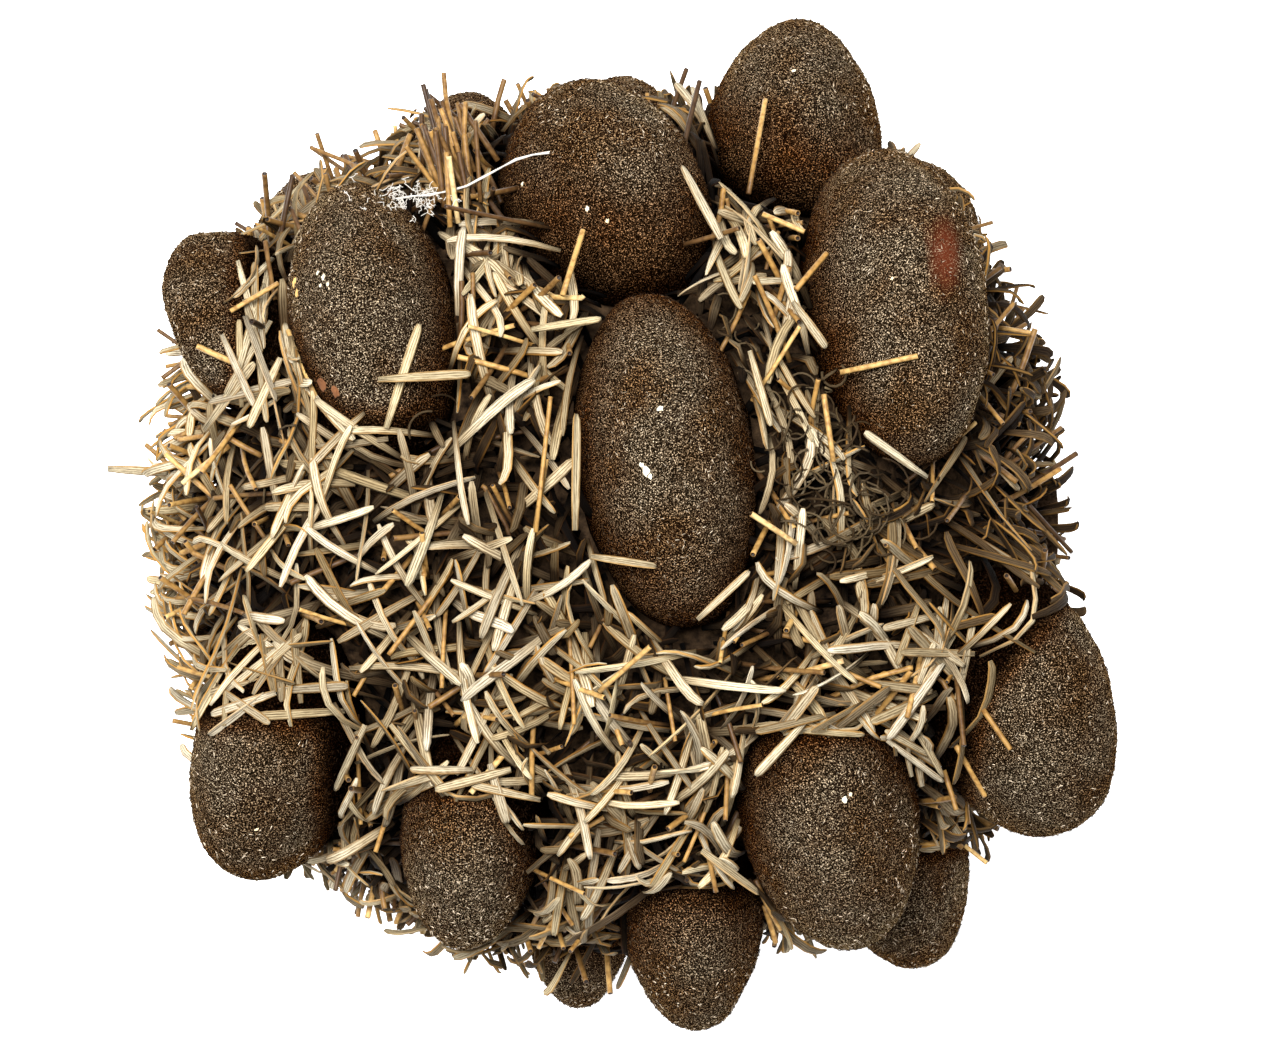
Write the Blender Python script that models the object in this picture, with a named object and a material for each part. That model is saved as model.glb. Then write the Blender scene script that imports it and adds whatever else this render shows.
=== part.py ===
"""Banksia cone, picked and lying on its side with the stalk end at +X.

The woody spike runs along X. Dry florets stand out of it all over: flat grey-tan straps and
thinner wiry styles. Between them sit the closed seed follicles, whose long sides run round the spike.
"""
import itertools
import math
import random
from collections import namedtuple

import bmesh
import bpy
from mathutils import Vector, noise

MM = 0.001

# Woody spike under the florets: a barrel with rounded ends.
CORE_RADIUS = 37.5 * MM
CORE_HALF_LENGTH = 42 * MM
CORE_ROUNDNESS = 2.6
CORE_SIDES = 24
CORE_RINGS = 14

# Surface that the tips of the florets reach.
HEAD_RADIUS = 49.5 * MM
HEAD_HALF_LENGTH = 51 * MM
HEAD_ROUNDNESS = 2.2

# Surface through the middles of the follicles.
SEAT_RADIUS = 41 * MM
SEAT_HALF_LENGTH = 58 * MM
SEAT_ROUNDNESS = 2.6

STALK_RADIUS = 5.5 * MM
STALK_START = 36 * MM
STALK_END = 49 * MM
STALK_SIDES = 14

# Dry perianth straps, drawn larger than life so that they still cover the head.
STRAP_COUNT = 960
STRAP_WIDTH = 3.1 * MM
STRAP_THICKNESS = 1.0 * MM
STRAP_ROOT_SHARE = 0.55
STRAP_TIP_LENGTH = 2.2 * MM
STRAP_LEAN = math.radians(47)
STRAP_LEAN_SPREAD = math.radians(9)

# Wiry styles, at their true thickness.
STYLE_COUNT = 190
STYLE_WIDTH = 1.0 * MM
STYLE_LEAN = math.radians(20)
STYLE_LEAN_SPREAD = math.radians(12)

# How florets are set: combed in patches, each tried at less and less lean and at turns round its
# root until it keeps its room from the florets that already stand there.
ROOT_DEPTH = 1.6 * MM
TIP_SPREAD = 0.03
TURN_SPREAD = math.radians(14)
COMB_PATCH = 32 * MM
ROOM_BETWEEN = 2.0 * MM
LEAN_SHARES = (1.0, 0.6, 0.2)
TURN_STEPS = (0, 1, -1, 2, -2, 3, -3, 4)
LINE_STEPS = 8
GOLDEN_ANGLE = math.pi * (3 - math.sqrt(5))

CLEAR_OF_FOLLICLE = 0.7 * MM
CLEAR_OF_TABLE = 1.0 * MM
FLAT_ANGLE = math.radians(0.2)

# Follicles: each keeps this gap to the wood that it sits on.
GAP = 0.5 * MM
FOLLICLE_SIDES = 12
FOLLICLE_RINGS = 9
FOLLICLE_KEEL = 0.16
FOLLICLE_BOW = 2.0 * MM
FOLLICLE_DEPTH = 12.0 * MM

# Where each follicle sits: its place along the spike, its turn round it (0 is straight up), how far
# it stands off the seat surface, its lean towards the ends, its twist, and half its length, half its
# width and its height above its widest level. Lengths are in millimetres and angles in degrees.
Follicle = namedtuple("Follicle", "along turn lift lean twist half_length half_width height")
UPPER_FOLLICLES = [
    Follicle(-40.2, 46.5, -3.0, -44, -4, 12.0, 6.0, 10),
    Follicle(-25.5, 34, 0, -12, -8, 16.5, 8.8, 13),
    Follicle(-16, 98, -3.0, -3, -4, 13.0, 8.0, 11),
    Follicle(-1, 59, 0, 0, -22, 15.8, 10.8, 13),
    Follicle(5.5, 10, 0, 1, -8, 17.8, 9.4, 13),
    Follicle(19.4, 88, 2.0, 4, -2, 15.0, 10.0, 14),
    Follicle(30, 39.5, 0, 14, -8, 19.2, 9.6, 13),
    Follicle(43.5, -37, 0, 32, -8, 16.5, 9.5, 13),
    Follicle(23, -52, 0, 9, -8, 18.5, 9.7, 13),
    Follicle(31.3, -104, 0, 14, -4, 15.5, 8.0, 13),
    Follicle(8.4, -80, 1.0, 2, -2, 15.5, 8.0, 14),
    Follicle(-4, -108, 2.0, 0, -2, 14.5, 6.4, 13),
    Follicle(-15, -52, 0, -5, 4, 15.5, 7.7, 13),
    Follicle(-36, -42.5, 0, -22, 6, 15.9, 8.8, 13),
]
LOWER_FOLLICLES = [
    Follicle(1, 114, 0, 0, 6, 16.0, 9.0, 13),
    Follicle(-33, 134, 0, -20, -6, 15.0, 8.6, 13),
    Follicle(33, 131, 0, 18, 6, 15.5, 9.0, 13),
    Follicle(41, 188, 0, 30, 4, 15.5, 8.8, 13),
    Follicle(-37, 190, 0, -28, 6, 15.0, 8.4, 13),
    Follicle(-22, 229, 0, -10, 6, 16.0, 8.8, 13),
    Follicle(22.5, 214, 0, 8, -8, 16.0, 9.0, 13),
]
# The three follicles that the cone lies on.
FOOT_FOLLICLES = [
    Follicle(-16, 160, 0, -6, -6, 17.0, 9.4, 13),
    Follicle(17, 163, 0, 6, 8, 17.0, 9.6, 13),
    Follicle(1, 203, 0, 0, -6, 17.0, 9.4, 13),
]
TABLE_DEPTH = 52.6 * MM

STRAW = (0.44, 0.35, 0.22, 1.0)
FELT_BROWN = (0.115, 0.075, 0.045, 1.0)


def clear_scene():
    for item in list(bpy.data.objects):
        bpy.data.objects.remove(item)


def make_material(name, colour, roughness):
    material = bpy.data.materials.new(name)
    material.use_nodes = True
    shader = material.node_tree.nodes["Principled BSDF"]
    shader.inputs["Base Color"].default_value = colour
    shader.inputs["Roughness"].default_value = roughness
    shader.inputs["Metallic"].default_value = 0.0
    return material


def new_object(name, form, material=None):
    """Turn a bmesh into a named object with its faces pointing out, and free it."""
    form.normal_update()
    bmesh.ops.recalc_face_normals(form, faces=form.faces)
    mesh = bpy.data.meshes.new(name)
    form.to_mesh(mesh)
    form.free()
    item = bpy.data.objects.new(name, mesh)
    bpy.context.scene.collection.objects.link(item)
    if material:
        mesh.materials.append(material)
    return item


def barrel_radius(x, radius, half_length, roundness):
    """Radius of a barrel at x: a superellipse turned about the X axis."""
    share = min(abs(x) / half_length, 1.0)
    return radius * (1 - share ** roundness) ** (1 / roundness)


def core_radius(x):
    return barrel_radius(x, CORE_RADIUS, CORE_HALF_LENGTH, CORE_ROUNDNESS)


def round_spike(x, radius, angle):
    """Point at a distance from the spike's axis, at an angle round it from straight up."""
    return Vector((x, radius * math.sin(angle), radius * math.cos(angle)))


def follicle_axes(follicle):
    """Middle of a follicle and its long, wide and outward directions."""
    turn, lean, twist = (math.radians(a) for a in (follicle.turn, follicle.lean, follicle.twist))
    x = follicle.along * MM
    seat = barrel_radius(x, SEAT_RADIUS, SEAT_HALF_LENGTH, SEAT_ROUNDNESS)
    radial = round_spike(0, 1, turn)
    middle = Vector((x, 0, 0)) + (seat + follicle.lift * MM) * radial
    spike = Vector((1, 0, 0))
    outward = math.cos(lean) * radial + math.sin(lean) * spike
    across = math.cos(lean) * spike - math.sin(lean) * radial
    round_way = Vector((0, math.cos(turn), -math.sin(turn)))
    long_way = math.cos(twist) * round_way + math.sin(twist) * across
    wide_way = math.cos(twist) * across - math.sin(twist) * round_way
    return middle, long_way, wide_way, outward


def make_follicle(name, follicle, material):
    """A bean-shaped pod, from a sphere: keeled outwards, bowed round the spike, flat on the wood."""
    middle, long_way, wide_way, outward = follicle_axes(follicle)
    form = bmesh.new()
    bmesh.ops.create_uvsphere(form, u_segments=FOLLICLE_SIDES, v_segments=FOLLICLE_RINGS, radius=1)
    for vertex in form.verts:
        wide, out, long = vertex.co
        height = follicle.height * MM if out > 0 else FOLLICLE_DEPTH
        point = middle + long_way * (long * follicle.half_length * MM)
        point += wide_way * (wide * follicle.half_width * MM * (1 - FOLLICLE_KEEL * out))
        point += outward * (out * height - FOLLICLE_BOW * long ** 2)
        lowest = core_radius(point.x) + GAP
        radius = math.hypot(point.y, point.z)
        if radius < lowest:
            point.y *= lowest / radius
            point.z *= lowest / radius
        vertex.co = point
    item = new_object(name, form, material)
    item.data.shade_smooth()
    return item


def lie_on_table(item):
    """Shift a foot follicle straight up or down until its lowest point is on the table."""
    lowest = min(vertex.co.z for vertex in item.data.vertices)
    for vertex in item.data.vertices:
        vertex.co.z -= lowest + TABLE_DEPTH


def inside_follicle(point, follicle, axes, margin):
    """True where a point is inside a follicle's form, grown by a margin."""
    middle, long_way, wide_way, outward = axes
    offset = point - middle
    long = offset.dot(long_way) / (follicle.half_length * MM + margin)
    if abs(long) >= 1:
        return False
    rise = offset.dot(outward) + FOLLICLE_BOW * long ** 2
    out = rise / ((follicle.height * MM if rise > 0 else FOLLICLE_DEPTH) + margin)
    half_width = (follicle.half_width * MM + margin) * (1 - FOLLICLE_KEEL * out)
    wide = offset.dot(wide_way) / half_width
    return long ** 2 + out ** 2 + wide ** 2 < 1


def make_core():
    """The woody spike, from a sphere whose poles become the spike's ends."""
    form = bmesh.new()
    bmesh.ops.create_uvsphere(form, u_segments=CORE_SIDES, v_segments=CORE_RINGS, radius=1)
    for vertex in form.verts:
        side, top, along = vertex.co
        ring = math.hypot(side, top)
        x = along * CORE_HALF_LENGTH
        reach = core_radius(x) / ring if ring else 0
        vertex.co = Vector((x, side * reach, top * reach))
    return new_object("flower_head", form)


def make_stalk():
    """The cut end of the stalk: a short round stub with a flat face."""
    form = bmesh.new()
    length = STALK_END - STALK_START
    bmesh.ops.create_cone(form, cap_ends=True, segments=STALK_SIDES, radius1=STALK_RADIUS,
                          radius2=STALK_RADIUS, depth=length)
    for vertex in form.verts:
        vertex.co = Vector((vertex.co.z + STALK_START + length / 2, vertex.co.x, vertex.co.y))
    return new_object("stalk", form)


def spike_lattice(count):
    """Roots of florets: a golden-angle spiral along the spike, with the outward direction of each."""
    for step in range(count):
        x = CORE_HALF_LENGTH * (1 - 2 * (step + 0.5) / count)
        angle = step * GOLDEN_ANGLE
        root = round_spike(x, core_radius(x), angle)
        slope = (core_radius(x + MM / 4) - core_radius(x - MM / 4)) / (MM / 2)
        outward = round_spike(-slope, 1, angle).normalized()
        yield root, outward


def leaning(outward, lean, turn):
    """Direction that leans away from outward, towards a turn round it."""
    side = outward.orthogonal().normalized()
    other = outward.cross(side)
    sideways = math.cos(turn) * side + math.sin(turn) * other
    return (math.cos(lean) * outward + math.sin(lean) * sideways).normalized()


def reach_of(root, direction, spread):
    """Length from a root to the surface that the tips reach."""
    length = 0
    while True:
        length += MM / 2
        tip = root + direction * length
        along = abs(tip.x) / (HEAD_HALF_LENGTH * spread)
        ring = math.hypot(tip.y, tip.z) / (HEAD_RADIUS * spread)
        if along ** HEAD_ROUNDNESS + ring ** HEAD_ROUNDNESS > 1:
            return length


def strap_sections(root, direction, outward, length):
    """Corners of a strap: a flat triangle at the root and at the shoulder, and its blunt point."""
    across = direction.cross(outward).normalized()
    up = across.cross(direction).normalized()
    start = root - direction * ROOT_DEPTH
    shoulder = root + direction * (length - STRAP_TIP_LENGTH)
    sections = []
    for middle, share in ((start, STRAP_ROOT_SHARE), (shoulder, 1.0)):
        half = STRAP_WIDTH * share / 2
        ridge = middle + up * (STRAP_THICKNESS * share)
        sections.append([middle - across * half, middle + across * half, ridge])
    return sections + [[root + direction * length + up * STRAP_THICKNESS / 3]]


def style_sections(root, direction, outward, length):
    """Corners of a style: a small triangle at the root and another at the broken end."""
    across = direction.cross(outward).normalized()
    up = across.cross(direction).normalized()
    half = STYLE_WIDTH / 2
    ends = (root - direction * ROOT_DEPTH, root + direction * length)
    return [[end - across * half, end + across * half, end + up * STYLE_WIDTH] for end in ends]


def make_floret(name, sections, collection):
    """A closed three-sided solid through its sections; a last section of one corner is a point."""
    form = bmesh.new()
    rings = [[form.verts.new(corner) for corner in section] for section in sections]
    form.faces.new(rings[0])
    for low, high in zip(rings, rings[1:]):
        for corner in range(3):
            side = [low[corner], low[(corner + 1) % 3]]
            side += high if len(high) == 1 else [high[(corner + 1) % 3], high[corner]]
            form.faces.new(side)
    if len(rings[-1]) == 3:
        form.faces.new(rings[-1])
    item = new_object(name, form)
    bpy.context.scene.collection.objects.unlink(item)
    collection.objects.link(item)


def is_clear(sections, obstacles):
    """True where a floret keeps clear of every follicle, the stalk and the table."""
    points = []
    for low, high in zip(sections, sections[1:]):
        for corner in range(3):
            start, end = low[corner], high[corner % len(high)]
            points += [start.lerp(end, step / LINE_STEPS) for step in range(LINE_STEPS + 1)]
    points = [point for point in points if math.hypot(point.y, point.z) > core_radius(point.x)]
    if min((point.z for point in points), default=0) < CLEAR_OF_TABLE - TABLE_DEPTH:
        return False
    for point in points:
        if point.x > STALK_START and math.hypot(point.y, point.z) < STALK_RADIUS + CLEAR_OF_FOLLICLE:
            return False
        for follicle, axes in obstacles:
            if inside_follicle(point, follicle, axes, CLEAR_OF_FOLLICLE):
                return False
    return True


def line_points(root, direction, length):
    """Points along the free part of a floret's middle line."""
    return [root + direction * (length * step / LINE_STEPS) for step in range(2, LINE_STEPS + 1)]


def room_cell(point):
    return tuple(int(value // ROOM_BETWEEN) for value in point)


def room_left(points, taken):
    """Distance from a floret's middle line to the florets that already stand near it."""
    nearest = 2 * ROOM_BETWEEN
    for point in points:
        cell = room_cell(point)
        for step in itertools.product((-1, 0, 1), repeat=3):
            for other in taken.get(tuple(a + b for a, b in zip(cell, step)), ()):
                nearest = min(nearest, (point - other).length)
    return nearest


def grow_florets(count, lean, lean_spread, make_sections, obstacles, taken, collection, draw):
    """Set florets on the lattice, combed with their neighbours, bent clear of follicles and each other."""
    for root, outward in spike_lattice(count):
        comb = noise.noise(root / COMB_PATCH) * math.tau
        turn = comb + draw.uniform(-TURN_SPREAD, TURN_SPREAD)
        own_lean = lean + draw.uniform(-lean_spread, lean_spread)
        spread = 1 + draw.uniform(-TIP_SPREAD, TIP_SPREAD)
        best_room, best = 0, None
        for lean_share, step in itertools.product(LEAN_SHARES, TURN_STEPS):
            heading = turn + step * math.tau / len(TURN_STEPS)
            direction = leaning(outward, own_lean * lean_share, heading)
            length = reach_of(root, direction, spread)
            points = line_points(root, direction, length)
            room = room_left(points, taken)
            if room <= best_room:
                continue
            sections = make_sections(root, direction, outward, length)
            if not is_clear(sections, obstacles):
                continue
            best_room, best = room, (sections, points)
            if room >= ROOM_BETWEEN:
                break
        if best:
            make_floret("floret", best[0], collection)
            for point in best[1]:
                taken.setdefault(room_cell(point), []).append(point)


def fuse(item, collection):
    """Join a collection's solids to an item in one body, without loose scraps or sealed hollows."""
    union = item.modifiers.new("fuse", "BOOLEAN")
    union.operation = "UNION"
    union.operand_type = "COLLECTION"
    union.collection = collection
    union.solver = "MANIFOLD"
    bpy.context.view_layer.update()
    fused = bpy.data.meshes.new_from_object(item.evaluated_get(bpy.context.evaluated_depsgraph_get()))
    item.modifiers.clear()
    item.data = fused
    for part in list(collection.objects):
        bpy.data.objects.remove(part)
    bpy.data.collections.remove(collection)
    keep_largest_body(item.data)


def keep_largest_body(mesh):
    """Drop every separate shell but the largest, and merge the faces that lie in one plane."""
    form = bmesh.new()
    form.from_mesh(mesh)
    waiting = set(form.verts)
    bodies = []
    while waiting:
        body, edge_of_body = set(), [waiting.pop()]
        while edge_of_body:
            vertex = edge_of_body.pop()
            body.add(vertex)
            for edge in vertex.link_edges:
                other = edge.other_vert(vertex)
                if other in waiting:
                    waiting.remove(other)
                    edge_of_body.append(other)
        bodies.append(body)
    largest = max(bodies, key=len)
    loose = [vertex for body in bodies if body is not largest for vertex in body]
    bmesh.ops.delete(form, geom=loose, context="VERTS")
    bmesh.ops.dissolve_limit(form, angle_limit=FLAT_ANGLE, verts=form.verts, edges=form.edges)
    form.to_mesh(mesh)
    form.free()


def stand_on_origin(items):
    """Hang every piece on one empty, moved so that the box's bottom centre is at the origin."""
    corners = [item.matrix_world @ vertex.co for item in items for vertex in item.data.vertices]
    low = Vector([min(corner[axis] for corner in corners) for axis in range(3)])
    high = Vector([max(corner[axis] for corner in corners) for axis in range(3)])
    cone = bpy.data.objects.new("banksia_cone", None)
    bpy.context.scene.collection.objects.link(cone)
    cone.location = (-(low.x + high.x) / 2, -(low.y + high.y) / 2, -low.z)
    for item in items:
        item.parent = cone


clear_scene()
straw = make_material("dry_florets", STRAW, 0.85)
felt = make_material("follicle_felt", FELT_BROWN, 0.9)

pods = []
follicles = UPPER_FOLLICLES + LOWER_FOLLICLES + FOOT_FOLLICLES
for number, follicle in enumerate(follicles, 1):
    pod = make_follicle(f"follicle_{number:02d}", follicle, felt)
    if follicle in FOOT_FOLLICLES:
        lie_on_table(pod)
    pods.append(pod)

florets = bpy.data.collections.new("florets")
bpy.context.scene.collection.children.link(florets)
head = make_core()
stalk = make_stalk()
bpy.context.scene.collection.objects.unlink(stalk)
florets.objects.link(stalk)
obstacles = [(follicle, follicle_axes(follicle)) for follicle in follicles]
draw = random.Random(11)
taken = {}
grow_florets(STRAP_COUNT, STRAP_LEAN, STRAP_LEAN_SPREAD, strap_sections,
             obstacles, taken, florets, draw)
grow_florets(STYLE_COUNT, STYLE_LEAN, STYLE_LEAN_SPREAD, style_sections,
             obstacles, taken, florets, draw)
fuse(head, florets)
head.data.materials.clear()
head.data.materials.append(straw)
stand_on_origin([head] + pods)
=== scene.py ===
import math

import bmesh
import bpy
import numpy as np
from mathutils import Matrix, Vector, noise
from mathutils.bvhtree import BVHTree


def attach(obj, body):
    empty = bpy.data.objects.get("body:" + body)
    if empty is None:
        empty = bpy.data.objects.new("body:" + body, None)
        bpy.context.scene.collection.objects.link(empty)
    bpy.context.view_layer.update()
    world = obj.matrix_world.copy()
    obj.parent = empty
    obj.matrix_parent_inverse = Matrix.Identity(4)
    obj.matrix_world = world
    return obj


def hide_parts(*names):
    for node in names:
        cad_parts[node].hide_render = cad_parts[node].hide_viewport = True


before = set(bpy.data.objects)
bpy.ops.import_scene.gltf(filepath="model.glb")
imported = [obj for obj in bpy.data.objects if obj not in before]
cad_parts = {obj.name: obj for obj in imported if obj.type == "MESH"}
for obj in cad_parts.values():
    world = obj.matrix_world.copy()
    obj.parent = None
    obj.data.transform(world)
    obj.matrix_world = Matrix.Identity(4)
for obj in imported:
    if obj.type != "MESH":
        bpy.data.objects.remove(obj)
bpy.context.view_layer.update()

# Woody spike: the dark axis that every floret and follicle grows from. It is a barrel lying along X,
# rough with the scars of fallen florets, and it is seen only as the dark ground between them.
MM = 0.001
SPIKE_MIDDLE = np.array((-0.5, -0.3, 52.6)) * MM
SPIKE_RADIUS = 37.5 * MM
SPIKE_HALF_LENGTH = 42 * MM
SPIKE_ROUNDNESS = 2.6
SPIKE_SCAR = 0.9 * MM


def deselect_all():
    if bpy.context.object and bpy.context.object.mode != "OBJECT":
        bpy.ops.object.mode_set(mode="OBJECT")
    bpy.ops.object.select_all(action="DESELECT")


def select_only(piece):
    deselect_all()
    piece.select_set(True)
    bpy.context.view_layer.objects.active = piece


def extrude_rings(stations):
    """Draw the active mesh's one face out along X, ring by ring."""
    bpy.ops.object.mode_set(mode="EDIT")
    bpy.ops.mesh.select_all(action="SELECT")
    for start, end in zip(stations, stations[1:]):
        bpy.ops.mesh.extrude_region_move(TRANSFORM_OT_translate={"value": (end - start, 0, 0)})


def close_outward():
    """Turn the edited mesh's faces outward and leave Edit Mode."""
    bpy.ops.mesh.select_all(action="SELECT")
    bpy.ops.mesh.normals_make_consistent(inside=False)
    bpy.ops.object.mode_set(mode="OBJECT")


def keep_place(piece):
    """Put a piece's location, turn and scale into its mesh."""
    select_only(piece)
    bpy.ops.object.transform_apply(location=True, rotation=True, scale=True)


def barrel_share(x, half_length, roundness):
    """Share of a barrel's radius that is left at x."""
    return (1 - min(abs(x) / half_length, 1.0) ** roundness) ** (1 / roundness)


def make_spike_wood():
    deselect_all()
    bpy.ops.mesh.primitive_uv_sphere_add(segments=72, ring_count=48, radius=1, rotation=(0, math.pi / 2, 0))
    wood = bpy.context.object
    wood.name = "spike_wood"
    keep_place(wood)
    for vertex in wood.data.vertices:
        x = vertex.co.x * SPIKE_HALF_LENGTH
        ring = math.hypot(vertex.co.y, vertex.co.z)
        reach = SPIKE_RADIUS * barrel_share(x, SPIKE_HALF_LENGTH, SPIKE_ROUNDNESS) / ring if ring else 0
        point = Vector((x, vertex.co.y * reach, vertex.co.z * reach))
        point += point.normalized() * SPIKE_SCAR * noise.noise(point / (2.5 * MM))
        vertex.co = point + Vector(SPIKE_MIDDLE)
    bpy.ops.object.shade_smooth()
    return wood


def new_material(name):
    material = bpy.data.materials.new(name)
    material.use_nodes = True
    tree = material.node_tree
    return material, tree, tree.nodes["Principled BSDF"]


def ramp_node(tree, factor, stops):
    """A colour ramp with (place, linear colour) stops."""
    ramp = tree.nodes.new("ShaderNodeValToRGB")
    elements = ramp.color_ramp.elements
    for place, colour in stops[1:-1]:
        elements.new(place)
    for element, (place, colour) in zip(elements, stops):
        element.position = place
        element.color = (*colour, 1)
    tree.links.new(factor, ramp.inputs["Fac"])
    return ramp.outputs["Color"]


def noise_value(tree, scale, detail, roughness=0.5, place=None):
    """Noise on Object coordinates unless a place is given: scale is in grains per metre."""
    grain = tree.nodes.new("ShaderNodeTexNoise")
    grain.inputs["Scale"].default_value = scale
    grain.inputs["Detail"].default_value = detail
    grain.inputs["Roughness"].default_value = roughness
    if place is None:
        place = tree.nodes.new("ShaderNodeTexCoord").outputs["Object"]
    tree.links.new(place, grain.inputs["Vector"])
    return grain.outputs["Fac"]


def carried_value(tree, name):
    """A value that the mesh carries at its corners."""
    value = tree.nodes.new("ShaderNodeAttribute")
    value.attribute_name = name
    return value.outputs["Fac"]


def math_value(tree, operation, first, second):
    node = tree.nodes.new("ShaderNodeMath")
    node.operation = operation
    for socket, value in zip(node.inputs, (first, second)):
        if isinstance(value, (int, float)):
            socket.default_value = value
        else:
            tree.links.new(value, socket)
    return node.outputs["Value"]


def mix_colour(tree, blend, factor, first, second):
    node = tree.nodes.new("ShaderNodeMix")
    node.data_type = "RGBA"
    node.blend_type = blend
    sockets = [socket for socket in node.inputs if socket.enabled]
    for socket, value in zip(sockets, (factor, first, second)):
        if isinstance(value, (int, float, tuple)):
            socket.default_value = value
        else:
            tree.links.new(value, socket)
    return [socket for socket in node.outputs if socket.enabled][0]


def give_colour(tree, shader, colour, roughness, specular):
    tree.links.new(colour, shader.inputs["Base Color"])
    shader.inputs["Roughness"].default_value = roughness
    shader.inputs["Specular IOR Level"].default_value = specular


def add_bump(tree, height, shader, distance, strength):
    bump = tree.nodes.new("ShaderNodeBump")
    bump.inputs["Distance"].default_value = distance
    bump.inputs["Strength"].default_value = strength
    tree.links.new(height, bump.inputs["Height"])
    tree.links.new(bump.outputs["Normal"], shader.inputs["Normal"])


def spike_wood_material():
    material, tree, shader = new_material("dark_spike_wood")
    grain = noise_value(tree, 700, 6, 0.6)
    colour = ramp_node(tree, grain, [(0.35, (0.006, 0.004, 0.003)), (0.7, (0.05, 0.03, 0.016))])
    give_colour(tree, shader, colour, 1.0, 0.0)
    add_bump(tree, grain, shader, 0.6 * MM, 1.0)
    return material


spike_wood = make_spike_wood()
spike_wood.data.materials.append(spike_wood_material())
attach(spike_wood, "root")
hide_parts("flower_head")


# Stalk end: the short stub, at the +X end, where the cone was cut from its twig. It has ridged dark bark
# and a paler face with faint rings round a small hollow of pith.
STALK_RADIUS = 5.2 * MM
STALK_START = 33 * MM
STALK_END = 48.2 * MM
STALK_STEPS = 12
STALK_RIDGE = 0.45 * MM
# Size of the bark's ridges along and across the stalk.
STALK_GRAIN = (9 * MM, 1.3 * MM, 1.3 * MM)


def point_value(mesh, name, values):
    attribute = mesh.attributes.new(name, "FLOAT", "POINT")
    attribute.data.foreach_set("value", np.asarray(values, dtype=np.float32))


def make_stalk_end():
    deselect_all()
    bpy.ops.mesh.primitive_circle_add(vertices=64, radius=STALK_RADIUS, fill_type="NGON",
                                      rotation=(0, math.pi / 2, 0))
    stalk = bpy.context.object
    stalk.name = "stalk_end"
    keep_place(stalk)
    extrude_rings(np.linspace(STALK_START, STALK_END, STALK_STEPS + 1))
    for depth in (0.0, 0.15, -0.10, 0.10, -0.10, 0.10, -0.35):
        bpy.ops.mesh.inset(thickness=0.62 * MM, depth=depth * MM)
    close_outward()
    rings = []
    for vertex in stalk.data.vertices:
        ring = math.hypot(vertex.co.y, vertex.co.z) / STALK_RADIUS
        rings.append(ring)
        ridge = noise.noise(Vector([at / size for at, size in zip(vertex.co, STALK_GRAIN)]))
        vertex.co.y *= 1 + ridge * STALK_RIDGE / STALK_RADIUS
        vertex.co.z *= 1 + ridge * STALK_RIDGE / STALK_RADIUS
        vertex.co += Vector(SPIKE_MIDDLE) + Vector((STALK_START, 0, 0))
    point_value(stalk.data, "ring", rings)
    return stalk


def stalk_end_material():
    material, tree, shader = new_material("stalk_bark_and_cut")
    rings = ramp_node(tree, carried_value(tree, "ring"), [
        (0.0, (0.02, 0.012, 0.007)), (0.18, (0.20, 0.13, 0.070)), (0.50, (0.27, 0.18, 0.10)),
        (0.80, (0.20, 0.13, 0.070)), (0.92, (0.045, 0.026, 0.014))])
    grain = noise_value(tree, 2600, 4, 0.7)
    shade = ramp_node(tree, grain, [(0.38, (0.35, 0.30, 0.26)), (0.60, (1, 1, 1))])
    give_colour(tree, shader, mix_colour(tree, "MULTIPLY", 1.0, rings, shade), 0.95, 0.05)
    add_bump(tree, grain, shader, 0.25 * MM, 0.9)
    return material


stalk_end = make_stalk_end()
stalk_end.data.materials.append(stalk_end_material())
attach(stalk_end, "root")
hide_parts("flower_head")


# Follicles: closed woody seed pods under a velvet of short brown hairs, each seated on the spike. Each is
# rounded from its solid in the frame, and its paler and darker hairs are real slips that lie on it.
HEAD_RADIUS = 49.5 * MM
HEAD_HALF_LENGTH = 51 * MM
HEAD_ROUNDNESS = 2.2
FOLLICLE_NAMES = sorted(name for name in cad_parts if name.startswith("follicle_"))
FOLLICLE_SWELL = 0.45 * MM
FOLLICLE_LUMP = 0.3 * MM
FELT_HAIRS = 2600
FELT_HAIR_LENGTH = (0.25 * MM, 0.6 * MM)
FELT_HAIR_WIDTH = 0.11 * MM
FELT_HAIR_RISE = (0.05, 0.6)
# Buried parts, seen from above: florets have grown over a follicle beyond each line, given by a point in
# millimetres and the direction that leads over it.
BURIED_PARTS = {
    "follicle_01": ((-40.8, 24, 1, 0), (-45, 14.2, 0, -1)),
    "follicle_02": ((-26, 11.5, 0, -1), (-32.8, 18, -0.87, -0.49)),
    "follicle_03": ((-16, 44.5, 0, -1),),
    "follicle_08": ((41.3, -15.4, -0.76, 0.65), (38.2, -22, -1, 0.1)),
    "follicle_09": ((20, -22.3, 0, 1), (29, -25.2, 0.81, 0.59)),
    "follicle_10": ((30, -36, 0, 1),),
    "follicle_11": ((8, -39.2, 0, 1),),
    "follicle_12": ((-4, -45.5, 0, 1),),
    "follicle_13": ((-17, -28.6, 0, 1), (-10.5, -34, 1, 0.5)),
    "follicle_14": ((-36, -21.3, 0, 1), (-31.7, -28, 1, 0)),
}
BURIED_REACH = 2.5 * MM
RUST_PATCH = (34.1 * MM, 28.2 * MM, 1.2 * MM, 2.9 * MM)


def head_share(points):
    """1 on the surface that the floret tips reach, less inside it."""
    offset = points - SPIKE_MIDDLE
    along = np.abs(offset[..., 0]) / HEAD_HALF_LENGTH
    ring = np.hypot(offset[..., 1], offset[..., 2]) / HEAD_RADIUS
    return (along ** HEAD_ROUNDNESS + ring ** HEAD_ROUNDNESS) ** (1 / HEAD_ROUNDNESS)


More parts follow.
